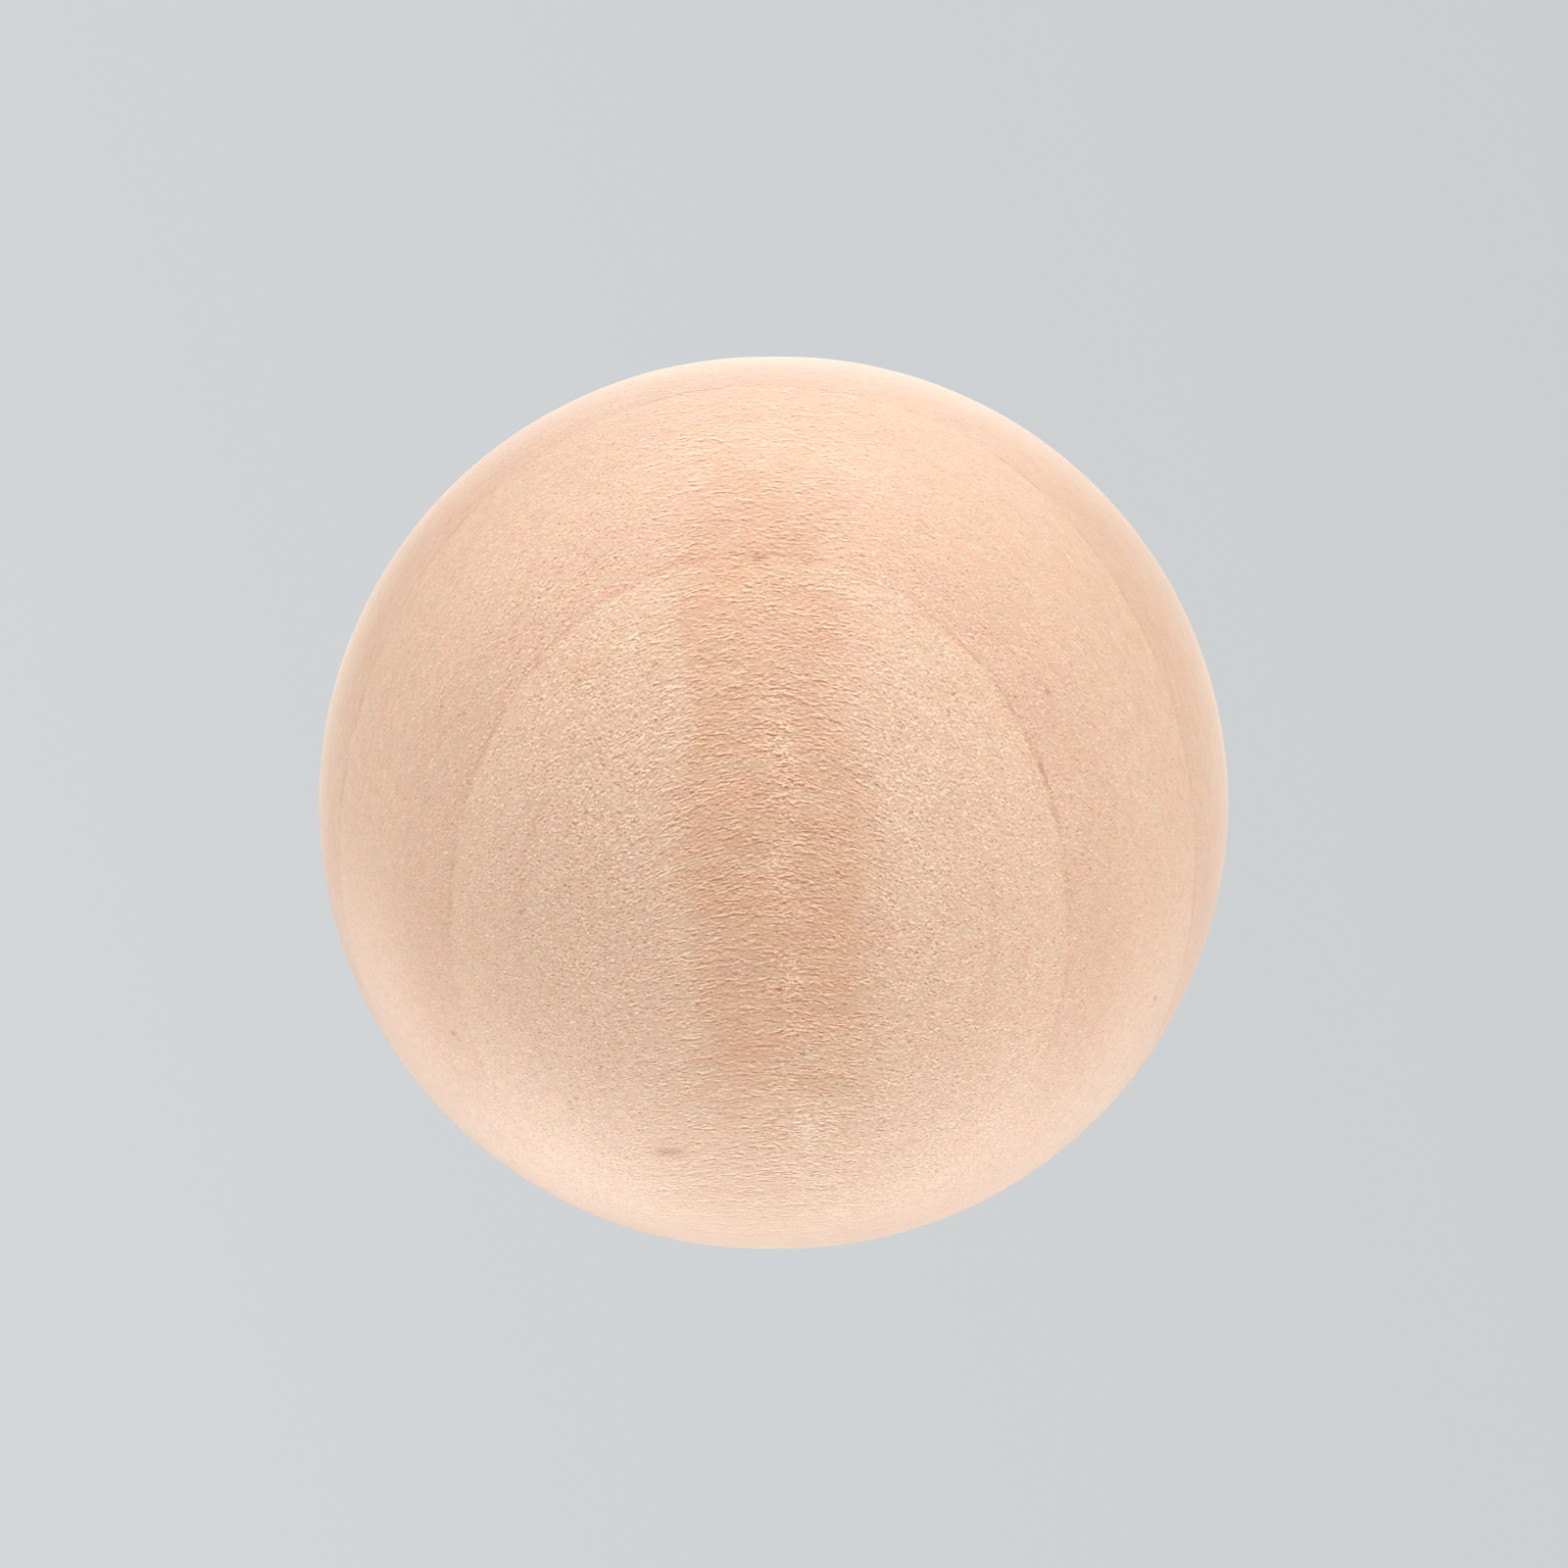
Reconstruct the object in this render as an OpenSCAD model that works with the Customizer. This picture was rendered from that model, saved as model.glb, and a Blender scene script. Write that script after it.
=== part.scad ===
// Turned wooden ball, one solid piece.
// It is turned from round stock with the grain lying along the turning axis.
// Two hemispheres of one radius meet at a narrow parallel land, the last trace
// of the round stock, so the ball is a little longer along the grain than it
// is across it.
// Frame: origin at the ball's centre, X along the grain, Z up.

/* [Ball] */
// Diameter across the grain, which is also the diameter of the round stock
ball_d = 24.57; // [8:0.01:60]
// Width of the parallel land round the middle, measured along the grain
land_w = 0.45; // [0.05:0.05:2]

/* [Finish] */
// Colour of the bare sanded wood
wood_colour = "#E4BEA3"; // [#E4BEA3:Pale wood, #D9A97F:Honey wood, #C98F63:Darker wood]

/* [Hidden] */
$fn = 180;
ball_r = ball_d / 2;
// Length along the grain, from pole to pole
ball_len = ball_d + land_w;

// Quarter disc of the hemisphere's section, in the corner between the turning
// axis and the flat face that meets the land
module quarter_section() {
    intersection() {
        circle(r = ball_r);
        square([ball_r + 1, ball_r + 1]);
    }
}

// Half of the ball's section: hemisphere, parallel land, hemisphere
module half_section() {
    translate([0, land_w / 2]) quarter_section();
    translate([0, -land_w / 2]) square([ball_r, land_w]);
    translate([0, -land_w / 2]) mirror([0, 1]) quarter_section();
}

// The ball, its turning axis laid along X
module ball() {
    color(wood_colour)
        rotate([0, 90, 0])
            rotate_extrude(angle = 360)
                half_section();
}

ball();
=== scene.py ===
import bpy, math
import numpy as np
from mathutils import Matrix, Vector

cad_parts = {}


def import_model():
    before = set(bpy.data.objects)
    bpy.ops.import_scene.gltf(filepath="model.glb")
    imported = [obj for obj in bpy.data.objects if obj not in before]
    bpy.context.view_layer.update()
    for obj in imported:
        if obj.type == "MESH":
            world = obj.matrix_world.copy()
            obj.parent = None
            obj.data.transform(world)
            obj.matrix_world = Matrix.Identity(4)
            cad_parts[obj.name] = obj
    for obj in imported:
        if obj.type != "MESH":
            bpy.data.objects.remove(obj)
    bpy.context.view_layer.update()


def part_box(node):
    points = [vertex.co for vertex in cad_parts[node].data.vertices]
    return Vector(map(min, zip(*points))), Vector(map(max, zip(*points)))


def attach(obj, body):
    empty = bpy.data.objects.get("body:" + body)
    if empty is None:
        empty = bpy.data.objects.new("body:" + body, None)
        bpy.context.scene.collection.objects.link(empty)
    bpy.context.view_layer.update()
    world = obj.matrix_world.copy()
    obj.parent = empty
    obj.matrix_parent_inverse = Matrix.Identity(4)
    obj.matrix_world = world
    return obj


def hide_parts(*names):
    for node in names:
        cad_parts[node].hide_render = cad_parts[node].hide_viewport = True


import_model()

# ---------------------------------------------------------------- sizes
low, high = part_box("ball")
R_ACROSS = (high.z - low.z) / 2          # radius of the two hemispheres
LAND = (high.x - low.x) / 2 - R_ACROSS   # half the parallel land
MM = 0.001
U = 0.0270 * MM                          # the unit that the grain was measured in
SEED = 20

scene = bpy.context.scene


# ---------------------------------------------------------------- smooth random fields
def field(seed, count, wave, stretch=(1.0, 1.0, 1.0)):
    """A smooth random function of points in mm: a sum of cosines whose waves are about `wave` mm long, longer along an axis by `stretch`."""
    rng = np.random.default_rng(SEED * 1000 + seed)
    k = rng.normal(size=(count, 3))
    k /= np.linalg.norm(k, axis=1)[:, None]
    k *= (2 * np.pi / wave) * rng.uniform(0.7, 1.35, size=(count, 1))
    k /= np.array(stretch)[None, :]
    ph = rng.uniform(0, 2 * np.pi, count)

    def f(p):
        out = np.zeros(len(p))
        for a, b in zip(k, ph):
            out += np.cos(p @ a + b)
        return out / math.sqrt(count / 2)

    return f


def smooth(a, b, x):
    t = np.clip((x - a) / (b - a), 0, 1)
    return t * t * (3 - 2 * t)


# ---------------------------------------------------------------- the wood's figure
# The fibres lie along X. The rings are cylinders round a pith that lies behind
# and above the ball, so they show as ovals on the front and as arcs on the two
# end-grain sides. Lengths here are in units of U.
PITH_Y, PITH_Z = 600.0, 222.65
RINGS = (60.0, 175.0, 300.0, 445.0, 620.0, 803.0, 984.0, 1190.0, 1400.0)


def ring_radius(p):
    """Distance from the pith for points in metres, in units of U, with the taper and bend of the real rings."""
    x, y, z = (p / U).T
    rho = np.hypot(y - PITH_Y, z - PITH_Z)
    return rho - 0.041 * x + 0.011 * x * x / 459 + 0.007 * x * z / 459 - 10.0 * (x / 430) ** 6


def bowed(p):
    """The points, with the slight frown of the fibres taken out of Z, in metres."""
    x, y, z = (p / U).T
    s = z / 459 + 0.10
    k = 0.48 + 1.42 * np.exp(-((s / np.where(s > 0, 0.56, 0.31)) ** 2))
    w = 160 * (1 - np.exp(-x * x / (2 * 459 * 160)))
    q = p.copy()
    q[:, 2] += k * w * U
    return q


def strand(p):
    """Where a point lies along and round a cylinder about the fibre axis, as a 3-D place in metres on that cylinder: it stays the same along one fibre however the ball curves away."""
    x, y, z = (p / U).T
    phi = np.arctan2(z, -y)
    s = np.sin(phi)
    k = 0.48 + 1.42 * np.exp(-(((s + 0.10) / np.where(s > -0.10, 0.56, 0.31)) ** 2))
    k = np.clip((k - s) / np.clip(np.abs(np.cos(phi)), 0.35, None), -1.0, 2.2)
    w = 160 * (1 - np.exp(-x * x / (2 * 459 * 160)))
    phi = phi + k * w / 459
    phi = phi + 0.11 * np.sin(2 * phi)  # the fuzz is coarser towards the top and the underside
    r = R_ACROSS / 1.22
    return np.stack([p[:, 0], -np.cos(phi) * r, np.sin(phi) * r], 1)


def bell(x, width):
    return np.exp(-((x / width) ** 2))


def seam_offset(phi):
    """Where along X the raised-fuzz seam runs, in units of U, at an angle round X from the front (-Y) upwards."""
    low_side = np.clip(-np.sin(phi), 0, None)
    return 7 + 40 * low_side**1.15 + 3.0 * np.sin(9 * phi + 0.6) + 2.2 * np.sin(23 * phi + 2.0)


def seam_gap(p):
    """Signed distance from the seam, in mm, and how much of the seam is there, 0 to 1."""
    x, y, z = (p / U).T
    phi = np.arctan2(z, -y)
    there = (1 - smooth(0.12, 0.50, z / 459)) * (1 - 0.40 * smooth(-0.56, -0.84, z / 459))
    return (x - seam_offset(phi)) * U / MM, there


def brown_band(p):
    """0 to 1: the darker, more orange belt round the ball where the fibres lie along the surface."""
    x, y, z = (p / U).T
    s = z / 459
    mm = p / MM
    left = -84 + 12 * smooth(0.0, -0.30, s) + 10 * smooth(0.40, 0.60, s) - 12 * bell(s - 0.33, 0.16) + 7 * field(9, 20, 3.2)(mm)
    soft_left = 22 + 34 * smooth(0.30, 0.60, s) + 24 * smooth(0.0, -0.30, s)
    right = 82 - 12 * smooth(-0.02, 0.12, s) - 20 * smooth(0.35, 0.60, s) + 20 * bell(s + 0.25, 0.24) + 9 * field(10, 20, 3.4)(mm)
    soft_right = 62
    b = smooth(left - soft_left, left + soft_left, x) * (1 - smooth(right - soft_right, right + soft_right, x))
    b *= smooth(-0.90, -0.45, s) * (1 - 0.85 * smooth(0.58, 0.86, s))
    return b * (0.94 + 0.16 * bell(s + 0.17, 0.22) + 0.05 * field(11, 24, 2.4)(mm))


def calm_patch(p):
    """How strong the fuzz is, 0 to 1: it is rubbed down here and there, most of all low on the side grain, left of the seam."""
    x, y, z = (p / U).T
    calm = 1 - 0.20 * bell(x + 72, 62) * smooth(-150, -270, z) * (y < 0)
    calm *= 1 - 0.16 * bell(x, 95) * bell(z + 185, 75)
    calm *= 1 - 0.20 * bell(x + 90, 62) * bell(z - 200, 75)
    return calm * (1 - 0.12 * bell(x - 190, 85)) * (1 - 0.08 * bell(x + 230, 55) * bell(z - 120, 70))


def lower_side_tone(p):
    """Paler patches low on the two sides, above 0, and a darker one between them at the bottom, below 0."""
    x, y, z = (p / U).T

    def patch(place, width):
        return np.exp(-((x - place[0]) ** 2 + (y - place[1]) ** 2 + (z - place[2]) ** 2) / width**2)

    return patch((352, -84, -285), 88) + 0.85 * patch((-240, -102, -375), 88) - 0.90 * patch((72, -66, -443), 72)


def marks(p, d, rho):
    """Three masks, 0 to 1: the seam where the fuzz stands up, how strongly the line of a ring shows, and how brown its late wood is."""
    x, y, z = (p / U).T
    mm = p / MM
    patch = field(5, 24, 3.4)(mm)
    fine = field(6, 30, 1.1)(mm)
    gap, there = seam_gap(p)
    seam = bell(gap, 0.40 + 0.10 * patch + 0.24 * smooth(-0.30, -0.72, z / 459)) * np.clip(0.62 + 0.30 * field(7, 20, 2.2)(mm) + 0.22 * fine, 0, 1.2) * there
    # ring lines come and go
    line = np.clip(0.62 + 0.26 * field(8, 24, 3.0)(mm) + 0.28 * fine, 0.08, 1.1)
    near = bell(rho - 984.0, 60) * (d[:, 1] < 0)
    strong = bell(x - 272, 75) * bell(z - 20, 120) + 0.5 * bell(x + 300, 60) * bell(z + 10, 150)
    faint = smooth(-130, -330, z)
    line = line * (1 - 0.75 * near * faint) + near * 0.55 * strong
    late = np.clip(0.96 + 0.16 * patch, 0, 1.3) * (1 - 0.65 * bell(rho - 984.0, 34) * (d[:, 1] < 0) * faint)
    return np.clip(seam, 0, 1.2), np.clip(line, 0, 1.3), late


def lean(p, d):
    """The way along the surface from the painted shade under a raised fibre to the painted highlight on its upper edge,
    as if lit from above, as a vector that fades out at the two end-grain poles.
    """
    x, y, z = (p / U).T
    nx, ny, nz = d.T
    h = np.sqrt(np.clip(1 - nx * nx, 1e-6, None))
    across = np.stack([0 * nx, nz, -ny], 1) / h[:, None]
    along = np.stack([1 - nx * nx, -nx * ny, -nx * nz], 1) / h[:, None]
    turn = np.where(x < 0, 0.40, -0.15) * (x / 338) ** 2 * (1 - 1.5 * smooth(-110, -260, z))
    return (np.cos(turn)[:, None] * across - np.sin(turn)[:, None] * along) * smooth(0.05, 0.40, h)[:, None]


# ---------------------------------------------------------------- the ball's mesh
def cube_ball(n):
    """Unit directions, quads and a UV corner for each quad corner, for a cube with n by n quads a side, blown up to a ball."""
    lattice = (n + 1) ** 2
    # corner, first way, second way, outward: u runs along the fibres where it can
    sides = (
        ((0, 0, 0), (1, 0, 0), (0, 0, 1)),  # front, -Y
        ((n, n, 0), (-1, 0, 0), (0, 0, 1)),  # back, +Y
        ((0, 0, n), (1, 0, 0), (0, 1, 0)),  # top
        ((0, n, 0), (1, 0, 0), (0, -1, 0)),  # underside
        ((n, 0, 0), (0, 1, 0), (0, 0, 1)),  # right end grain
        ((0, n, 0), (0, -1, 0), (0, 0, 1)),  # left end grain
    )
    keys, uvs = [], []
    i, j = np.meshgrid(np.arange(n), np.arange(n), indexing="ij")
    i, j = i.ravel(), j.ravel()
    corners = ((0, 0), (1, 0), (1, 1), (0, 1))
    pad = 1.5 / 341.0, 1.5 / 512.0
    for s, (o, a, b) in enumerate(sides):
        quad, quad_uv = [], []
        for di, dj in corners:
            c = [o[m] + a[m] * (i + di) + b[m] * (j + dj) for m in range(3)]
            quad.append((c[0] * (n + 1) + c[1]) * (n + 1) + c[2])
            u = (s % 3 + pad[0] + (1 - 2 * pad[0]) * (i + di) / n) / 3
            v = (s // 3 + pad[1] + (1 - 2 * pad[1]) * (j + dj) / n) / 2
            quad_uv.append(np.stack([u, v], 1))
        keys.append(np.stack(quad, 1))
        uvs.append(np.stack(quad_uv, 1))
    keys, uvs = np.concatenate(keys), np.concatenate(uvs)
    unique, faces = np.unique(keys, return_inverse=True)
    faces = faces.reshape(keys.shape)
    grid = np.stack([unique // lattice, unique // (n + 1) % (n + 1), unique % (n + 1)], 1)
    d = np.tan((grid / n * 2 - 1) * math.pi / 4)
    d /= np.linalg.norm(d, axis=1)[:, None]
    return d, faces, uvs


def true_form(d):
    """Two hemispheres with the narrow land between them."""
    p = d * R_ACROSS
    p[:, 0] += LAND * np.sign(np.where(np.abs(d[:, 0]) < 1e-9, 0, d[:, 0]))
    return p


def relief(p, d):
    """How far the real surface lies under the true form, in metres: lathe and sanding unevenness, the rings and fine undulation along the grain."""
    mm = p / MM
    q = bowed(p) / MM
    side = np.exp(-((d[:, 0] / 0.30) ** 2))
    h = 0.0022 * field(1, 18, 11.0)(mm)  # out of round
    h += 0.0014 * field(2, 26, 2.6, (2.4, 1, 1))(q)  # sanding
    h += (0.0010 + 0.0011 * side) * field(3, 60, 0.75, (3.0, 1, 1))(q)
    h += (0.0005 + 0.0008 * side) * field(4, 90, 0.42, (3.5, 1, 1))(q)
    rho = ring_radius(p)
    for b in RINGS:  # the hard late wood stands a little proud
        h += 0.0016 * np.exp(-np.clip((b - rho), 0, None) / 26) * smooth(b + 5, b - 5, rho)
    return h * MM


def make_ball():
    n = 128
    d, faces, uvs = cube_ball(n)
    base = true_form(d)
    h = relief(base, d)
    top = h.max()
    p = base + d * (h - top)[:, None]
    for axis in range(3):  # nothing stands outside the CAD solid's box
        p[:, axis] = np.clip(p[:, axis], (low[axis]) + 1e-7, (high[axis]) - 1e-7)
    me = bpy.data.meshes.new("turned_ball")
    me.vertices.add(len(p))
    me.vertices.foreach_set("co", p.astype(np.float32).ravel())
    me.loops.add(faces.size)
    me.loops.foreach_set("vertex_index", faces.astype(np.int32).ravel())
    me.polygons.add(len(faces))
    me.polygons.foreach_set("loop_start", np.arange(0, faces.size, 4, dtype=np.int32))
    me.polygons.foreach_set("use_smooth", np.ones(len(faces), bool))
    uv = me.uv_layers.new(name="OFBake")
    uv.data.foreach_set("uv", uvs.reshape(-1, 2).astype(np.float32).ravel())
    q = bowed(base) / MM
    rho = ring_radius(base)
    year = np.interp(rho, RINGS, np.arange(len(RINGS)))
    fig = np.stack([year, np.abs(d[:, 0]), d[:, 2]], 1)
    belt = brown_band(base)
    for name, data in (("grain", q), ("figure", fig), ("marks", np.stack(marks(base, d, rho), 1)), ("belt", np.stack([belt, calm_patch(base), lower_side_tone(base)], 1)), ("lean", lean(base, d)), ("loose", 0.4 * q + 0.6 * base / MM), ("strand", strand(base) / MM)):
        a = me.attributes.new(name, "FLOAT_VECTOR", "POINT")
        a.data.foreach_set("vector", data.astype(np.float32).ravel())
    me.update(calc_edges=True)
    me.validate()
    ob = bpy.data.objects.new("turned_ball", me)
    scene.collection.objects.link(ob)
    return ob


# ---------------------------------------------------------------- node helpers
class Nodes:
    def __init__(self, tree):
        self.t = tree

    def new(self, kind, **props):
        n = self.t.nodes.new(kind)
        for k, v in props.items():
            setattr(n, k, v)
        return n

    def put(self, socket, value):
        if value is None:
            return
        if isinstance(value, bpy.types.NodeSocket):
            self.t.links.new(value, socket)
        else:
            if hasattr(socket.default_value, "__len__") and not hasattr(value, "__len__"):
                value = [value] * len(socket.default_value)
            elif hasattr(socket.default_value, "__len__") and len(socket.default_value) == 4 and len(value) == 3:
                value = tuple(value) + (1.0,)
            socket.default_value = value

    def attr(self, name):
        return self.new("ShaderNodeAttribute", attribute_type="GEOMETRY", attribute_name=name).outputs["Vector"]

    def split(self, v):
        n = self.new("ShaderNodeSeparateXYZ")
        self.put(n.inputs[0], v)
        return n.outputs

    def join(self, x, y, z):
        n = self.new("ShaderNodeCombineXYZ")
        for s, v in zip(n.inputs, (x, y, z)):
            self.put(s, v)
        return n.outputs[0]

    def m(self, op, a, b=None, c=None, clamp=False):
        n = self.new("ShaderNodeMath", operation=op, use_clamp=clamp)
        for s, v in zip(n.inputs, (a, b, c)):
            self.put(s, v)
        return n.outputs[0]

    def add(self, a, b):
        return self.m("ADD", a, b)

    def mul(self, a, b):
        return self.m("MULTIPLY", a, b)

    def v(self, op, a, b=None, c=None, scale=None):
        n = self.new("ShaderNodeVectorMath", operation=op)
        self.put(n.inputs[0], a)
        if b is not None:
            self.put(n.inputs[1], b)
        if c is not None:
            self.put(n.inputs[2], c)
        if scale is not None:
            self.put(n.inputs["Scale"], scale)
        return n.outputs["Value"] if op in ("LENGTH", "DOT_PRODUCT", "DISTANCE") else n.outputs["Vector"]

    def noise(self, vec, scale=1.0, detail=2.0, rough=0.5, lac=2.0, dist=0.0, colour=False):
        n = self.new("ShaderNodeTexNoise", noise_dimensions="3D")
        self.put(n.inputs["Vector"], vec)
        self.put(n.inputs["Scale"], scale)
        self.put(n.inputs["Detail"], detail)
        self.put(n.inputs["Roughness"], rough)
        self.put(n.inputs["Lacunarity"], lac)
        self.put(n.inputs["Distortion"], dist)
        return n.outputs["Color" if colour else "Fac"]

    def step(self, x, a, b, lo=0.0, hi=1.0, kind="SMOOTHSTEP"):
        n = self.new("ShaderNodeMapRange", interpolation_type=kind, clamp=True)
        for s, v in zip(("Value", "From Min", "From Max", "To Min", "To Max"), (x, a, b, lo, hi)):
            self.put(n.inputs[s], v)
        return n.outputs["Result"]

    def mix(self, fac, a, b, kind="MIX"):
        n = self.new("ShaderNodeMix", data_type="RGBA", blend_type=kind, clamp_factor=True)
        self.put(n.inputs[0], fac)
        self.put(n.inputs[6], a)
        self.put(n.inputs[7], b)
        return n.outputs[2]

    def gauss(self, x, width):
        """exp(-(x / width) ** 2)"""
        r = self.m("DIVIDE", x, width)
        return self.m("EXPONENT", self.mul(self.mul(r, r), -1.0))


# ---------------------------------------------------------------- bare sanded wood
WOOD = (0.7999, 0.5233, 0.3671)
FINE, STREAK, BUMP = 1.19, 0.09, 0.00003
LIFT = 0.042                             # mm from the painted highlight on a fibre's upper edge to the painted shade under it
SPEC, SHEEN = 0.7, (0.60, 0.36)
MARKS = (
    # small natural marks: place in units of U, half-lengths along X, Y and Z, how dark
    ((-99.7, -277.9, -348.5), (15, 14, 5), 0.50),  # bark fleck
    ((-112.4, -275.8, -346.6), (15, 14, 5), 0.30),
    ((-319.5, -238.8, -230.5), (2.6, 5, 3.2), 0.95),
    ((-315.1, -239.3, -235.9), (2.2, 4, 3), 0.45),
    ((-248.5, -371.0, -108.0), (3.4, 5, 2.6), 0.70),
    ((384.4, -164.0, -196.7), (1.8, 5, 6), 0.75),
    ((380.5, -163.3, -204.5), (5, 6, 1.6), 0.45),
    ((-195.9, -292.2, -294.0), (3, 4, 2.4), 0.65),
    ((263.6, -374.9, 35.9), (2.2, 4, 6), 0.45),
    ((269.0, -372.3, 22.4), (1.8, 4, 6), 0.30),
    ((270.4, -355.2, 110.4), (3, 5, 2.2), 0.60),
    ((-117.2, -420.4, 135.7), (4, 4, 2.6), 0.55),
    ((-16.8, -385.7, 241.3), (9, 5, 2), 0.70),
)


def bare_wood():
    mat = bpy.data.materials.new("bare_wood")
    mat.use_nodes = True
    t = mat.node_tree
    t.nodes.clear()
    g = Nodes(t)
    out = g.new("ShaderNodeOutputMaterial")
    bsdf = g.new("ShaderNodeBsdfPrincipled")
    t.links.new(bsdf.outputs[0], out.inputs["Surface"])
    grain = g.attr("grain")  # mm: along the fibre, then across it
    year, dip, nz = g.split(g.attr("figure"))
    seam, line_on, late_on = g.split(g.attr("marks"))

    def centred(vec, scale, detail=1.0, rough=0.5, shift=(0.0, 0.0, 0.0)):
        q = g.v("MULTIPLY_ADD", vec, scale, shift)
        return g.m("SUBTRACT", g.noise(q, 1.0, detail, rough), 0.5)

    belt, calm, pale = g.split(g.attr("belt"))
    loose = g.attr("loose")  # mm, with most of the frown left out
    strands = g.attr("strand")  # mm: along a fibre, then its place on a cylinder about the fibres
    lit_side = g.attr("lean")

    # -- how much the fibre lies in the surface: 1 on the side-grain band, 0 on end grain
    wobble = g.mul(centred(grain, (0.5, 1.6, 1.6), 2.0, 0.55), 0.5)
    brown = g.step(g.add(belt, g.mul(wobble, g.step(belt, 0.0, 0.15))), 0.10, 0.98)
    flat = g.step(g.m("MULTIPLY_ADD", wobble, 0.25, g.m("ABSOLUTE", g.m("ADD", g.mul(g.split(grain)[0], 1 / 12.3), 0.03))), 0.10, 0.40, 1.0, 0.0)
    end = g.m("SUBTRACT", 1.0, flat)

    # -- fine fuzz and vessels: long strokes where the fibre lies flat, dots where it is cut across
    warp = g.v("SUBTRACT", g.noise(g.v("MULTIPLY", grain, (5.0, 7.0, 7.0)), 1.0, 1.0, 0.5, colour=True), (0.5, 0.5, 0.5))
    unrest = g.m("MULTIPLY_ADD", seam, 4.0, 1.0)  # at the seam two passes of the abrasive met and left the fuzz standing
    stray = g.v("MULTIPLY_ADD", g.v("MULTIPLY", warp, (0.05, 0.024, 0.024)), g.join(unrest, unrest, unrest), strands)
    warp = g.v("SUBTRACT", g.noise(g.v("MULTIPLY", grain, (7.0, 9.0, 9.0)), 1.0, 1.0, 0.5, colour=True), (0.5, 0.5, 0.5))
    loose = g.v("MULTIPLY_ADD", warp, (0.12, 0.13, 0.13), loose)
    # the same fuzz looked up a little towards the light above, for the painted highlight and shade
    stray_up = g.v("MULTIPLY_ADD", lit_side, (LIFT, LIFT, LIFT), stray)
    loose_up = g.v("MULTIPLY_ADD", lit_side, (LIFT, LIFT, LIFT), loose)
    sa, sb, tq = (1.35, 7.6, 7.6), (6.2, 19.0, 19.0), (11.8, 13.4, 16.0)

    def fuzz(q, r):
        # long fibres lie along the lines where a slow noise crosses zero, and break off here and there
        fibre = g.gauss(centred(q, sa, 0.7, 0.55), 0.045)
        fibre = g.mul(fibre, g.step(centred(q, (2.8, 8.0, 8.0), 1.0, 0.5, (8.0, 2.0, 6.0)), -0.10, 0.12))
        strokes = g.m("MULTIPLY_ADD", fibre, 0.28, g.mul(centred(q, sb, 0.6, 0.6, (4.0, 9.0, 2.0)), 0.58))
        stipple = centred(r, tq, 0.8, 0.6, (3.1, 7.7, 1.3))
        return g.mul(strokes, flat), g.mul(stipple, g.m("MULTIPLY_ADD", flat, -0.48, 1.0))

    (fine_a, fine_b), (up_a, up_b) = fuzz(stray, loose), fuzz(stray_up, loose_up)
    fine = g.add(fine_a, fine_b)
    # painted highlight on the upper edge of each raised fibre and painted shade under it, as if lit from above; the
    # stipple also goes in as it is
    edge = g.add(g.m("SUBTRACT", fine_a, up_a), g.m("MULTIPLY_ADD", g.m("SUBTRACT", fine_b, up_b), 0.58, g.mul(fine_b, 0.42)))
    # away from the middle of the side grain most of the fuzz is rubbed off and single fibres are left
    nz_abs = g.m("ABSOLUTE", nz)
    off = g.m("SQRT", g.m("MULTIPLY_ADD", dip, dip, g.mul(nz_abs, nz_abs)))
    sparse = g.step(off, 0.05, 0.90, 0.20, 1.0)
    edge = g.mul(edge, g.add(g.m("SUBTRACT", 1.0, g.mul(sparse, 0.74)), g.mul(g.mul(g.m("ABSOLUTE", edge), 5.4), sparse)))
    # broken fibre ends catch the light as tiny pale specks, and open pores are tiny dark ones
    speck = g.step(centred(loose, (10.0, 13.0, 16.0), 0.0, 0.5, (2.0, 4.0, 6.0)), 0.06, 0.30)
    pore = g.step(centred(loose, (9.0, 12.0, 15.0), 0.0, 0.5, (5.0, 1.0, 9.0)), 0.10, 0.32)
    specks = g.m("MULTIPLY_ADD", g.mul(speck, g.step(nz_abs, 0.40, 0.90, 1.0, 0.55)), 0.15, g.mul(pore, -0.20))
    edge = g.m("MULTIPLY_ADD", specks, g.m("MULTIPLY_ADD", end, 0.6, 0.4), edge)
    come_go = g.step(centred(grain, (1.5, 4.5, 4.5), 1.0, 0.5, (2.0, 6.0, 1.0)), -0.16, 0.16, 0.70, 1.30)
    edge = g.mul(g.mul(edge, come_go), g.m("MULTIPLY_ADD", g.mul(flat, end), 0.50, 1.0))
    streak = centred(grain, (0.8, 4.2, 4.2), 1.5, 0.5, (9.0, 2.0, 5.0))
    mottle = centred(grain, (3.2, 4.6, 4.6), 1.0, 0.5, (1.0, 3.0, 7.0))
    broad = centred(grain, (0.7, 2.0, 2.0), 1.0, 0.5, (4.0, 4.0, 4.0))
    amount = g.mul(g.step(dip, 0.18, 0.92, 0.86, 0.24), g.step(g.m("MULTIPLY", nz, -1.0), 0.82, 0.97, 1.06, 0.42))
    # the painted fibre highlights and shade are fainter towards the upper right, where the light from above washes them
    # out
    amount = g.mul(amount, g.step(g.m("MULTIPLY_ADD", g.split(grain)[0], 0.30 / 12.3, nz), 0.10, 0.95, 1.0, 0.45))
    amount = g.mul(g.mul(amount, calm), g.m("MULTIPLY_ADD", seam, 0.55, 1.0))

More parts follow.
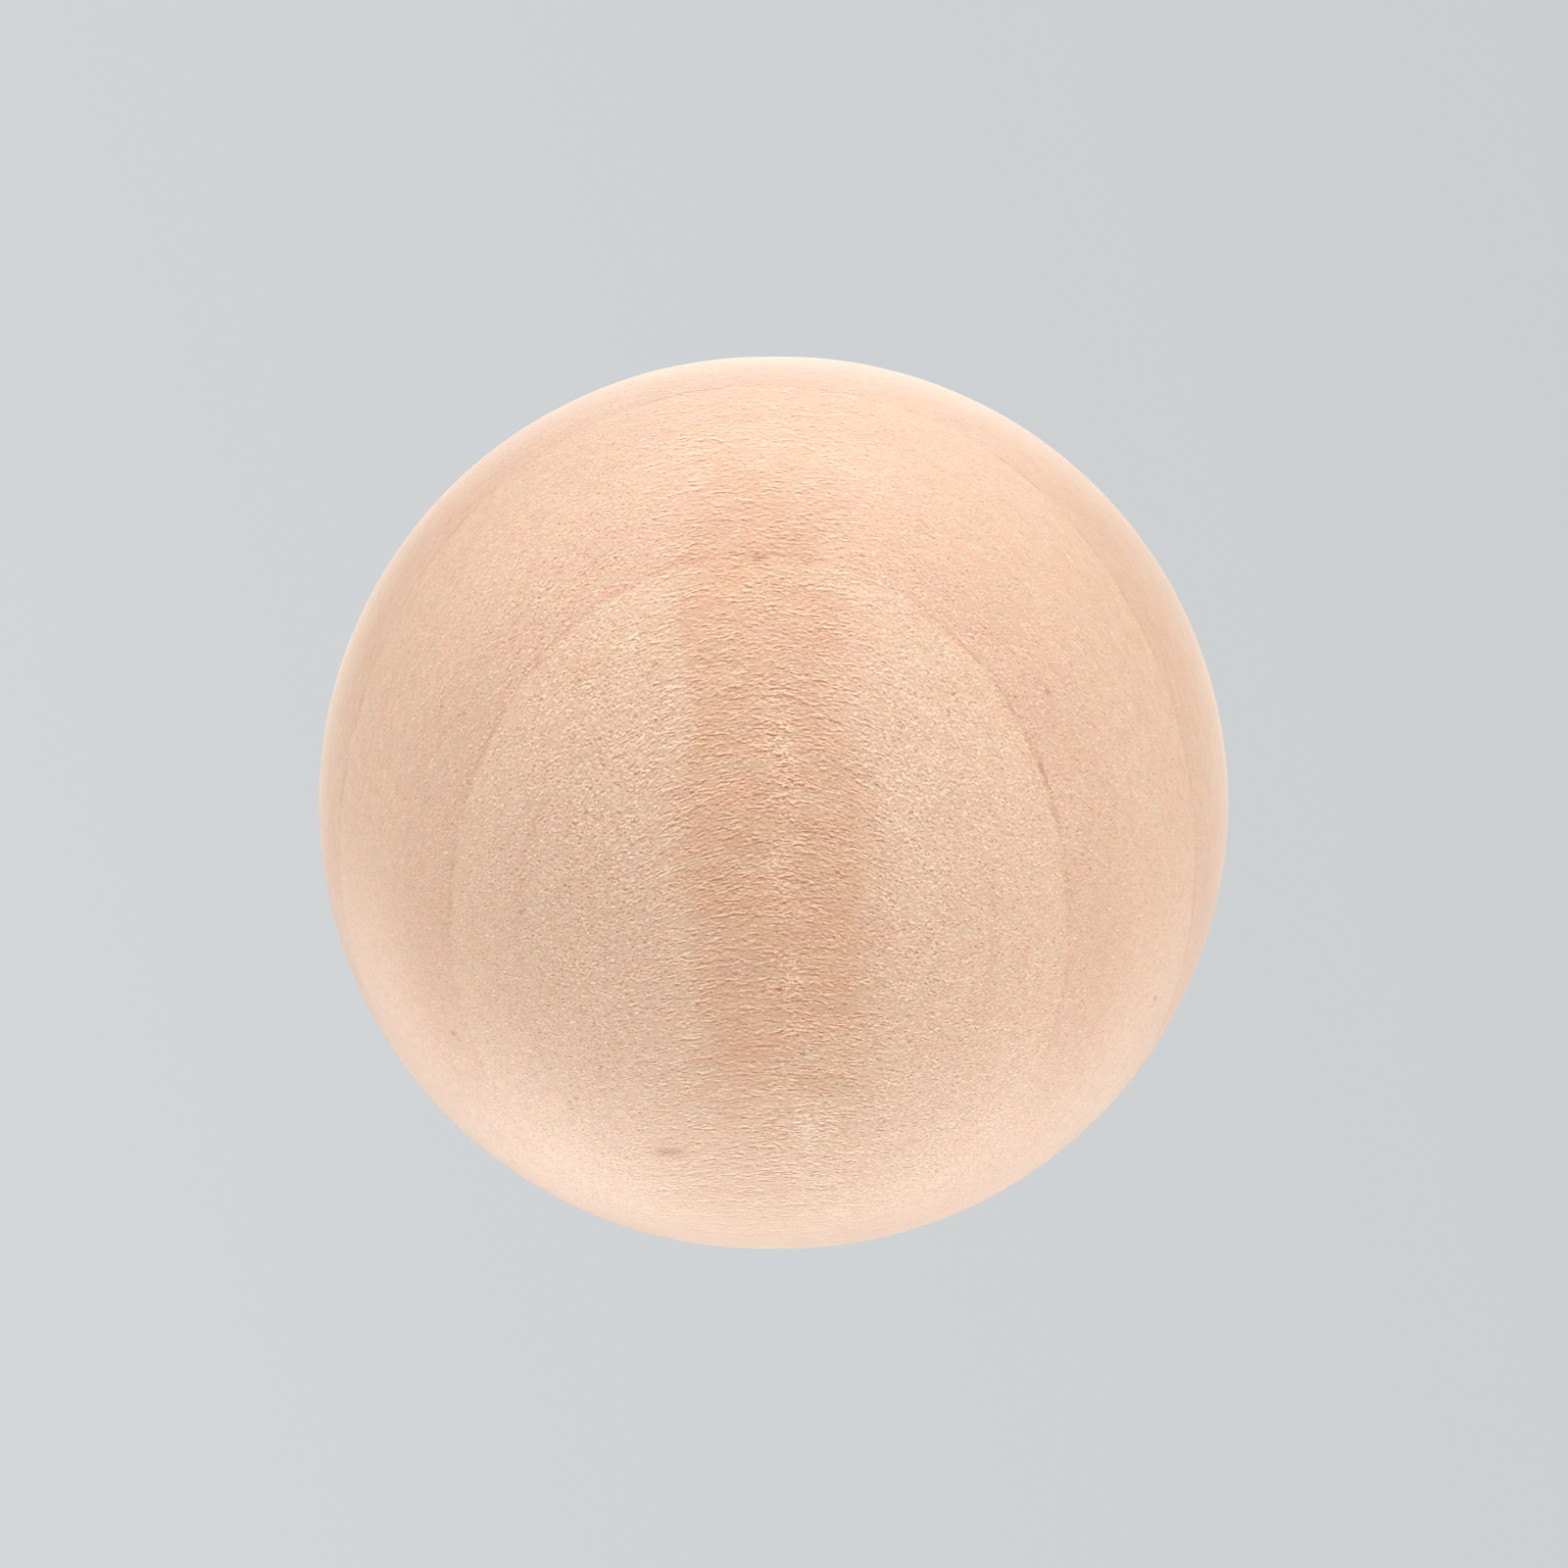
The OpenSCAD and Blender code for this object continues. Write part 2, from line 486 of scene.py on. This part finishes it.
    # -- growth rings
    ring = g.m("MULTIPLY_ADD", centred(grain, (0.12, 0.4, 0.4), 2.0), 0.03, year)
    ring = g.m("MULTIPLY_ADD", centred(grain, (2.2, 5.0, 5.0), 1.0, 0.5, (3.0, 8.0, 5.0)), 0.022, ring)
    t_in = g.m("FRACT", ring)
    late = g.mul(g.step(t_in, 0.50, 0.86), late_on)
    near = g.m("MINIMUM", t_in, g.m("SUBTRACT", 1.0, t_in))
    early = g.mul(g.step(t_in, 0.0, 0.04), g.step(t_in, 0.04, 0.22, 1.0, 0.0))
    broken = g.step(centred(grain, (2.4, 7.0, 7.0), 1.5, 0.6, (7.0, 5.0, 3.0)), -0.12, 0.14, 0.10, 1.7)
    line = g.mul(g.mul(g.gauss(near, 0.0095), line_on), broken)
    false_ring = g.mul(g.mul(g.gauss(g.m("SUBTRACT", ring, 6.252), 0.012), late_on), 0.22)

    # -- colour
    deep = g.mix(1.0, WOOD, (0.946, 0.858, 0.790), "MULTIPLY")
    col = g.mix(brown, WOOD, deep)
    col = g.mix(late, col, g.mix(1.0, col, (0.966, 0.928, 0.922), "MULTIPLY"))
    col = g.mix(early, col, g.mix(1.0, col, (1.008, 1.012, 1.008), "MULTIPLY"))
    col = g.mix(g.m("MINIMUM", g.m("MAXIMUM", line, false_ring), 1.0), col, g.mix(1.0, col, (0.900, 0.810, 0.780), "MULTIPLY"))
    # patches of pinker, yellower and paler wood
    patch = g.noise(g.v("MULTIPLY", grain, (0.9, 2.3, 2.3)), 1.0, 0.3, 0.5, colour=True)
    pr, pg, pb = g.split(g.v("SUBTRACT", patch, (0.5, 0.5, 0.5)))
    wide = g.m("MULTIPLY_ADD", brown, 0.6, 0.9)
    tone = g.join(
        g.m("MULTIPLY_ADD", g.mul(pr, wide), 0.07, 1.0),
        g.m("MULTIPLY_ADD", g.mul(pg, wide), 0.12, 1.0),
        g.m("MULTIPLY_ADD", g.mul(g.add(pg, pb), wide), 0.12, 1.0),
    )
    col = g.mix(1.0, col, tone, "MULTIPLY")
    # paler and whiter low on the two sides, darker at the bottom between them
    col = g.mix(1.0, col, g.v("MULTIPLY_ADD", g.join(pale, pale, pale), (0.06, 0.10, 0.12), (1.0, 1.0, 1.0)), "MULTIPLY")
    # a few pinkish fibres
    pink = g.step(centred(grain, (1.7, 6.0, 6.0), 0.0, 0.5, (5.0, 1.0, 8.0)), 0.20, 0.34)
    col = g.mix(g.mul(pink, 0.3), col, g.mix(1.0, col, (0.985, 0.91, 0.91), "MULTIPLY"))
    # lighter and darker by the fuzz: its painted highlights and shade, with streaks and mottling of the wood's own tone
    light = g.m("MULTIPLY_ADD", g.mul(edge, amount), FINE, 1.0)
    light = g.add(light, g.mul(streak, STREAK))
    light = g.add(light, g.mul(mottle, g.step(dip, 0.45, 0.85, 0.09, 0.14)))
    light = g.add(light, g.mul(broad, g.mul(brown, 0.12)))
    light = g.add(light, g.mul(seam, 0.03))
    light = g.add(light, g.mul(g.mul(seam, speck), 0.34))
    light = g.m("MAXIMUM", g.m("MINIMUM", light, 1.46), 0.60)
    tint = g.join(light, g.m("POWER", g.m("MINIMUM", light, 1.32), 1.58), g.m("POWER", g.m("MINIMUM", light, 1.28), 2.0))
    col = g.mix(1.0, col, tint, "MULTIPLY")
    col = g.mix(g.mul(seam, 0.35), col, g.mix(1.0, col, (1.0, 1.035, 1.09), "MULTIPLY"))
    # small dark marks
    for place, size, dark in MARKS:
        q = g.v("SUBTRACT", grain, tuple(float(v) for v in bowed(np.array([place]) * U)[0] / MM))
        r = g.v("LENGTH", g.v("DIVIDE", q, tuple(v * U / MM for v in size)))
        spot = g.mul(g.gauss(r, 1.0), dark)
        col = g.mix(spot, col, g.mix(1.0, col, (0.58, 0.38, 0.31), "MULTIPLY"))
    g.put(bsdf.inputs["Base Color"], col)

    # -- gloss: raised fibres scatter light at grazing angles
    rough = g.m("MULTIPLY_ADD", fine, -0.08, 0.50)
    g.put(bsdf.inputs["Roughness"], rough)
    bsdf.inputs["IOR"].default_value = 1.45
    bsdf.inputs["Specular IOR Level"].default_value = SPEC
    bsdf.inputs["Sheen Weight"].default_value = SHEEN[0]
    bsdf.inputs["Sheen Roughness"].default_value = SHEEN[1]
    bsdf.inputs["Sheen Tint"].default_value = (1.0, 0.93, 0.84, 1.0)

    # the fuzz stands up a little; its height leaves out the finest wandering of the fibres
    flat_here = g.step(dip, 0.10, 0.40, 1.0, 0.0)
    bump = g.new("ShaderNodeBump")
    bump.inputs["Strength"].default_value = 1.0
    bump.inputs["Distance"].default_value = BUMP
    lying = g.mul(centred(strands, sb, 0.6, 0.6, (4.0, 9.0, 2.0)), flat_here)
    cut = g.mul(centred(g.attr("loose"), tq, 0.8, 0.6, (3.1, 7.7, 1.3)), g.m("MULTIPLY_ADD", flat_here, -0.48, 1.0))
    g.put(bump.inputs["Height"], g.mul(g.m("MULTIPLY_ADD", lying, 0.6, cut), g.step(dip, 0.18, 0.92, 0.86, 0.30)))
    g.put(bsdf.inputs["Normal"], bump.outputs[0])
    return mat


# ---------------------------------------------------------------- stage, lights, camera
def plain(name, colour, rough=0.9):
    mat = bpy.data.materials.new(name)
    mat.use_nodes = True
    b = mat.node_tree.nodes["Principled BSDF"]
    b.inputs["Base Color"].default_value = (*colour, 1)
    b.inputs["Roughness"].default_value = rough
    b.inputs["Specular IOR Level"].default_value = 0.2
    return mat


def floor():
    n, radius, z = 96, 5.0, -0.42
    me = bpy.data.meshes.new("floor")
    rim = [(radius * math.cos(2 * math.pi * i / n), radius * math.sin(2 * math.pi * i / n), z) for i in range(n)]
    me.from_pydata(rim, [], [list(range(n))])
    ob = bpy.data.objects.new("floor", me)
    scene.collection.objects.link(ob)
    me.materials.append(plain("pale_floor", (0.72, 0.735, 0.74)))


def softbox(name, place, size, power, aim=(0, 0, 0)):
    lamp = bpy.data.lights.new(name, "AREA")
    lamp.shape = "RECTANGLE"
    lamp.size, lamp.size_y = size
    lamp.energy = power
    ob = bpy.data.objects.new(name, lamp)
    scene.collection.objects.link(ob)
    ob.location = place
    ob.rotation_euler = (Vector(aim) - Vector(place)).to_track_quat("-Z", "Y").to_euler()
    ob.visible_camera = False
    return ob


LIGHTS = (
    # name, degrees round from the camera's side towards +X, degrees up, watts
    ("back_left_low", -135, -25, 1.00),
    ("back_left_under", -135, -55, 2.67),
    ("back", -180, 25, 1.55),
    ("front_left", -45, 0, 1.09),
    ("left", -90, 0, 1.14),
    ("left_high", -90, 50, 1.42),
    ("front", 0, 25, 1.27),
    ("top", 0, 90, 2.48),
    ("back_right_low", 135, -25, 0.72),
    ("back_right_under", 135, -55, 2.10),
    ("back_right_high", 135, 50, 0.76),
    ("front_right_level", 45, 0, 2.02),
    ("front_right_high", 45, 50, 1.13),
    ("right", 90, 0, 0.89),
)


def lights():
    """Plain white softboxes round the ball, all the same size as seen from it."""
    for name, turn, up, watts in LIGHTS:
        far = 0.75 if up > -40 else 0.47
        a, e = math.radians(turn), math.radians(up)
        place = (far * math.cos(e) * math.sin(a), -far * math.cos(e) * math.cos(a), far * math.sin(e))
        side = 0.45 * far / 0.75
        softbox(name, place, (side, side), watts * (far / 0.75) ** 2)


def world():
    """A pale backdrop, a little brighter to the left and below, and a dimmer even light from all round."""
    w = bpy.data.worlds.new("studio")
    scene.world = w
    w.use_nodes = True
    t = w.node_tree
    t.nodes.clear()
    g = Nodes(t)
    out = g.new("ShaderNodeOutputWorld")
    seen, fill, mix = g.new("ShaderNodeBackground"), g.new("ShaderNodeBackground"), g.new("ShaderNodeMixShader")
    seen.name, fill.name = "seen", "fill"
    way = g.new("ShaderNodeTexCoord").outputs["Generated"]
    slope = g.v("DOT_PRODUCT", way, (-0.50, 0.0, -0.17))
    g.put(seen.inputs["Strength"], g.step(slope, -0.05, 0.05, 0.955, 1.055, "LINEAR"))
    seen.inputs["Color"].default_value = (0.621, 0.645, 0.656, 1)
    fill.inputs["Color"].default_value = (0.617, 0.638, 0.645, 1)
    fill.inputs["Strength"].default_value = 0.25
    t.links.new(g.new("ShaderNodeLightPath").outputs["Is Camera Ray"], mix.inputs[0])
    t.links.new(fill.outputs[0], mix.inputs[1])
    t.links.new(seen.outputs[0], mix.inputs[2])
    t.links.new(mix.outputs[0], out.inputs["Surface"])


def camera():
    cam = bpy.data.cameras.new("camera")
    cam.lens, cam.sensor_width, cam.sensor_fit = 250, 36, "HORIZONTAL"
    cam.clip_start, cam.clip_end = 0.01, 20
    ob = bpy.data.objects.new("camera", cam)
    scene.collection.objects.link(ob)
    ob.location = (0, -0.2997, 0)
    step = 0.072 / 800
    ob.rotation_euler = (math.pi / 2 + 19.2 * step, 0, -10.6 * step)
    scene.camera = ob


floor()
world()
lights()
camera()
scene.view_settings.view_transform = "Standard"
scene.view_settings.look = "None"

ball = make_ball()
ball.data.materials.append(bare_wood())
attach(ball, "root")
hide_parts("ball")
